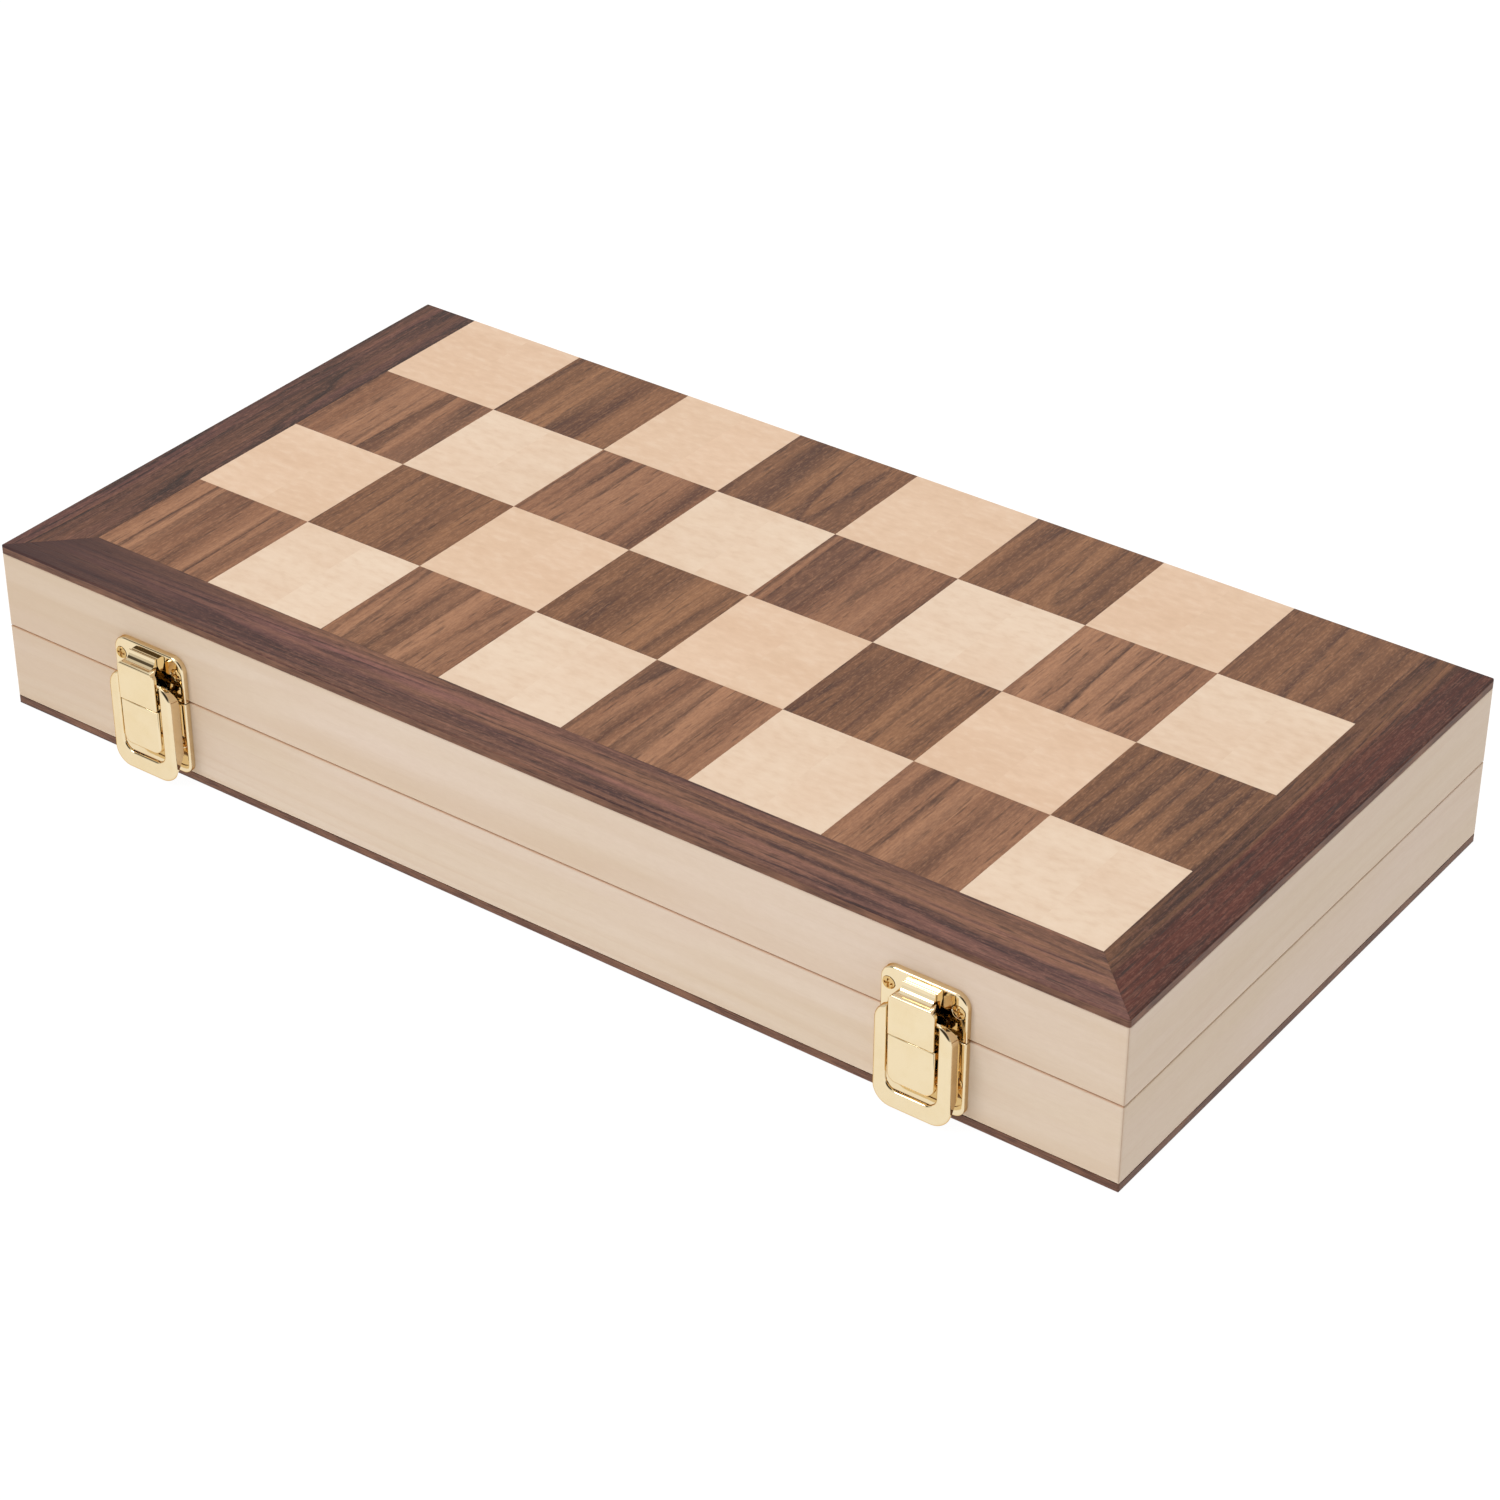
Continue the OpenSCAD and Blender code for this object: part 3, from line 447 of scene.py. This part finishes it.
walnut_finish, maple_finish = walnut_square(), maple_square()
for half in halves:
    dress(f"{half}_walnut_squares", walnut_finish)
    dress(f"{half}_maple_squares", maple_finish)


# ---- Backgammon field -------------------------------------------------------------------------
# The floor of each tray is veneered and inlaid with twelve points, dark and light in turn, whose
# feet stand on the end walls. The grain of the ground and of the points runs along the case.

# For each wood: where its leaf was cut, and the tones of its dark and light bands and its pores.
field_woods = {
    "field_maple": ((0, 0, 0), tint(222, 194, 164), tint(234, 210, 184), tint(186, 150, 116)),
    "point_walnut": ((1, 0.3, 0), tint(96, 66, 52), tint(132, 96, 76), tint(60, 42, 34)),
    "point_cherry": ((2, 0.6, 0), tint(172, 110, 70), tint(196, 134, 90), tint(134, 82, 50)),
}


def field_veneer(name, shift, dark, light, pore):
    """Straight-grained floor veneer in the given tones."""
    material, tree, shader = new_finish(name)
    grain = figure(tree, turned(tree, coordinates(tree), 0, shift), 110.0, 0.008, 1500.0)
    colour = layered(
        tree, mixed(tree, grain["Bands"], dark, light),
        (times(tree, grain["Pores"], 0.35), pore),
        (between(tree, grain["Fibres"], 0.6, 1, end=0.25), light))
    lacquered(tree, shader, colour, between(tree, grain["Fibres"], 0, 1, 0.42, 0.55),
              grain["Fibres"], 0.00004)
    return material


ground, dark_point, light_point = (field_veneer(name, *look) for name, look in field_woods.items())
for half in halves:
    dress(f"{half}_field", ground)
    dress(f"{half}_dark_points", dark_point)
    dress(f"{half}_light_points", light_point)


# ---- Hinges -----------------------------------------------------------------------------------
# Two small brass butt hinges let into the rims at the back. The leaves are stamped from sheet and
# their knuckles rolled round a pin, whose ends are rounded by tumbling.


def make_rubbed():
    """Marks of handling on polished brass: fine scratches in two directions and dull smudges."""
    tree, given, out = new_group("rubbed_metal", {"Vector": "Vector"},
                                 {"Scratches": "Float", "Smudges": "Float"})
    vector = given.outputs["Vector"]
    across = noise(tree, scaled(tree, vector, (0.15, 1, 1.2)), 2600.0, 2.0)
    upward = noise(tree, scaled(tree, vector, (1.1, 1, 0.12)), 2200.0, 2.0)
    scratches = reckoned(tree, "MAXIMUM", across, upward)
    tree.links.new(between(tree, scratches, 0.62, 0.8), out.inputs["Scratches"])
    tree.links.new(between(tree, noise(tree, vector, 160.0, 3.0), 0.4, 0.7), out.inputs["Smudges"])
    return tree


rubbed_metal = make_rubbed()


def brass(name, clean, aged, smooth, dull):
    """Plated brass from a clean to an aged tone, with roughness from smooth to dull."""
    material, tree, shader = new_finish(name)
    inputs = {"Vector": coordinates(tree)}
    marks = place(tree, "ShaderNodeGroup", inputs, node_tree=rubbed_metal).outputs
    colour = mixed(tree, times(tree, marks["Smudges"], 0.3), clean, aged)
    rough = reckoned(tree, "ADD", between(tree, marks["Smudges"], 0, 1, smooth, dull),
                     times(tree, marks["Scratches"], 0.05))
    tree.links.new(colour, shader.inputs["Base Color"])
    tree.links.new(rough, shader.inputs["Roughness"])
    shader.inputs["Metallic"].default_value = 1.0
    shader.inputs["Specular Tint"].default_value = tint(214, 170, 104)
    relief(tree, shader, marks["Scratches"], 0.000003)
    return material


def room_for(edge, marked, width):
    """Whether a marked edge, and the edges next to it in its two faces, can take the bevel."""
    for loop in edge.link_loops:
        needed = 0.0
        for corner, other in ((loop, loop.link_loop_prev.edge),
                              (loop.link_loop_next, loop.link_loop_next.edge)):
            angle = corner.calc_angle()
            if other in marked:
                needed += width / math.tan(angle / 2)
                continue
            if other.calc_length() * abs(math.sin(angle)) < 2.2 * width:
                return False
            needed += width / math.tan(angle)
        if edge.calc_length() < 1.2 * needed:
            return False
    return True


def mark_edges(mesh, width, sharp, rounds=12):
    """Bevel weight 1 on the edges turning by more than the sharp angle that have room for it.

    An edge that drops out takes room from its neighbours, so the rest are looked at again.
    """
    weights = mesh.edges.layers.float.new("bevel_weight_edge")
    marked = {e for e in mesh.edges if len(e.link_faces) == 2 and e.calc_face_angle() > sharp}
    for _ in range(rounds):
        tight = {e for e in marked if not room_for(e, marked, width)}
        if not tight:
            break
        marked -= tight
    for edge in marked:
        edge[weights] = 1.0


def softened(node, name, width, material, body, segments=3):
    """Merged copy of a node's mesh, its flats shaded flat and its edges broken by the width."""
    merged, flat, sharp = 1.5e-5, math.radians(0.8), math.radians(32)
    copy = bpy.data.objects.new(name, parts[node].data.copy())
    bpy.context.scene.collection.objects.link(copy)
    mesh = bmesh.new()
    mesh.from_mesh(copy.data)
    bmesh.ops.remove_doubles(mesh, verts=mesh.verts, dist=merged)
    bmesh.ops.dissolve_limit(mesh, angle_limit=flat, verts=mesh.verts, edges=mesh.edges)
    if width:
        mark_edges(mesh, width, sharp)
        bevel = copy.modifiers.new("broken_edge", "BEVEL")
        bevel.width, bevel.segments, bevel.limit_method = width, segments, "WEIGHT"
    mesh.to_mesh(copy.data)
    mesh.free()
    copy.data.materials.clear()
    copy.data.materials.append(material)
    copy.data.shade_smooth()
    copy.data.set_sharp_from_angle(angle=sharp)
    copy.modifiers.new("flat_faces", "WEIGHTED_NORMAL").keep_sharp = True
    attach(copy, body)
    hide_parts(node)


hinge_brass = brass("hinge_brass", tint(226, 196, 132), tint(190, 152, 92), 0.2, 0.34)
pin_brass = brass("pin_brass", tint(214, 178, 110), tint(160, 124, 74), 0.2, 0.34)
for side in ("left", "right"):
    for half, body in (("base", "case"), ("lid", "lid")):
        softened(f"{side}_hinge_{half}_leaf", f"{side}_{half}_leaf_worn", 0,
                 hinge_brass, body)
    softened(f"{side}_hinge_pin", f"{side}_pin_worn", 0.00015, pin_brass, "case")


# ---- Latches ----------------------------------------------------------------------------------
# Two toggle latches of pressed brass sheet, plated and polished. A strike plate with its keeper
# sits on the lid; the base plate carries the tongue and the horns that hold the lever's pin.

latch_brass = brass("latch_brass", tint(236, 218, 182), tint(229, 206, 160), 0.03, 0.09)
for side in ("left", "right"):
    softened(f"{side}_latch_strike_plate", f"{side}_strike_polished", 0,
             latch_brass, "lid")
    softened(f"{side}_latch_base_plate", f"{side}_plate_polished", 0,
             latch_brass, "case")


# ---- Levers and hooks -------------------------------------------------------------------------
# The ring lever turns on a pin through the horns; the hook hangs on two rivets in its flanges and
# comes down over the keeper. Both are bent from 1 mm sheet and polished all round.

for side in ("left", "right"):
    softened(f"{side}_latch_lever", f"{side}_lever_polished", 0.0003,
             latch_brass, f"{side}_lever")
    softened(f"{side}_latch_hook", f"{side}_hook_polished", 0,
             latch_brass, f"{side}_hook")
    softened(f"{side}_latch_lever_pin", f"{side}_lever_pin_worn", 0.0001,
             pin_brass, "case")
    softened(f"{side}_latch_hook_rivets", f"{side}_rivets_worn", 0.0001,
             pin_brass, f"{side}_lever")


# ---- Screws -----------------------------------------------------------------------------------
# Small cross-head wood screws with raised countersunk heads, plated like the latches, two in each
# plate and each hinge leaf.

screw_brass = brass("screw_brass", tint(216, 182, 124), tint(150, 116, 70), 0.06, 0.16)
for node, body in (("hinge_base_screws", "case"), ("hinge_lid_screws", "lid"),
                   ("latch_strike_screws", "lid"), ("latch_base_screws", "case")):
    softened(node, f"{node}_worn", 0.00005, screw_brass, body, segments=1)


# ---- Studio -----------------------------------------------------------------------------------
# A plain pale floor, a soft pale sky and soft lamps; the camera stands in front, to the right and
# above, as in the photograph.


def soft_lamp(name, spot, target, size, watts, colour):
    """Square area lamp at a spot, facing a target."""
    lamp = bpy.data.lights.new(name, "AREA")
    lamp.shape, lamp.size, lamp.energy, lamp.color = "SQUARE", size, watts, colour
    holder = bpy.data.objects.new(name, lamp)
    holder.location = spot
    holder.rotation_euler = (Vector(target) - Vector(spot)).to_track_quat("-Z", "Y").to_euler()
    bpy.context.scene.collection.objects.link(holder)


floor_size, floor_height = 20.0, -0.0002
corners = np.array([(-1, -1), (1, -1), (1, 1), (-1, 1)]) * floor_size / 2
floor_mesh = bpy.data.meshes.new("studio_floor")
floor_mesh.from_pydata([(x, y, floor_height) for x, y in corners], [], [(0, 1, 2, 3)])
floor = bpy.data.objects.new("studio_floor", floor_mesh)
bpy.context.scene.collection.objects.link(floor)
floor_white, _, floor_shader = new_finish("floor_white")
for socket, value in {
        "Base Color": (0.1, 0.1, 0.1, 1), "Roughness": 1.0, "Specular IOR Level": 0.0,
        "Emission Color": (1, 1, 1, 1), "Emission Strength": 0.96}.items():
    floor_shader.inputs[socket].default_value = value
floor_mesh.materials.append(floor_white)

# The sky is white, dimmer to both sides, and dark round the place the camera stands in and beside
# the key lamp, where polished brass would otherwise mirror only white.
sky = bpy.data.worlds.new("studio_sky")
bpy.context.scene.world = sky
sky.use_nodes = True
above = sky.node_tree
heading = place(above, "ShaderNodeTexCoord").outputs["Generated"]


def nearness(direction):
    """Cosine of the angle between the heading of the sky and a direction."""
    inputs = {0: heading, 1: Vector(direction).normalized()}
    return place(above, "ShaderNodeVectorMath", inputs, operation="DOT_PRODUCT").outputs["Value"]


rightward = split(above, heading)["X"]
white, right_grey, left_grey = (0.93, 0.92, 0.90, 1), (0.50, 0.49, 0.47, 1), (0.74, 0.72, 0.68, 1)
by_camera, by_lamp = nearness((0.62, -0.52, 0.60)), nearness((-0.68, -0.46, 0.58))
glow = layered(
    above, mixed(above, between(above, rightward, 0.1, 0.9), white, right_grey),
    (between(above, rightward, -0.46, -0.62), left_grey),
    (between(above, by_lamp, 0.95, 0.975), (0.10, 0.085, 0.065, 1)),
    (between(above, by_camera, 0.8, 0.88), (0.05, 0.04, 0.03, 1)))
above.links.new(glow, above.nodes["Background"].inputs["Color"])
above.nodes["Background"].inputs["Strength"].default_value = 1.0

soft_lamp("key", (-0.85, -1.45, 1.75), (0, 0, 0.03), 0.8, 15, (1.0, 0.98, 0.95))
soft_lamp("overhead", (0.1, 0.6, 1.9), (0, 0, 0.03), 1.2, 8, (1.0, 0.99, 0.97))

# The camera's place, heading and tilt were fitted to the corners of the squares.
camera = bpy.data.cameras.new("camera")
camera.sensor_width, camera.lens = 36.0, 92.85
stand = bpy.data.objects.new("camera", camera)
stand.location = (0.5800, -0.7857, 0.6495)
ahead, tilt = Vector((-0.4916, 0.6756, -0.5495)).normalized(), math.radians(0.17)
sideways = ahead.cross(Vector((0, 0, 1))).normalized()
level = Matrix((sideways, sideways.cross(ahead), -ahead)).transposed()
stand.rotation_euler = (level @ Matrix.Rotation(tilt, 3, "Z")).to_euler()
bpy.context.scene.collection.objects.link(stand)
bpy.context.scene.camera = stand
bpy.context.scene.view_settings.view_transform = "Standard"


# ---- Scene update -----------------------------------------------------------------------------
# The view layer is brought up to date.

bpy.context.view_layer.update()
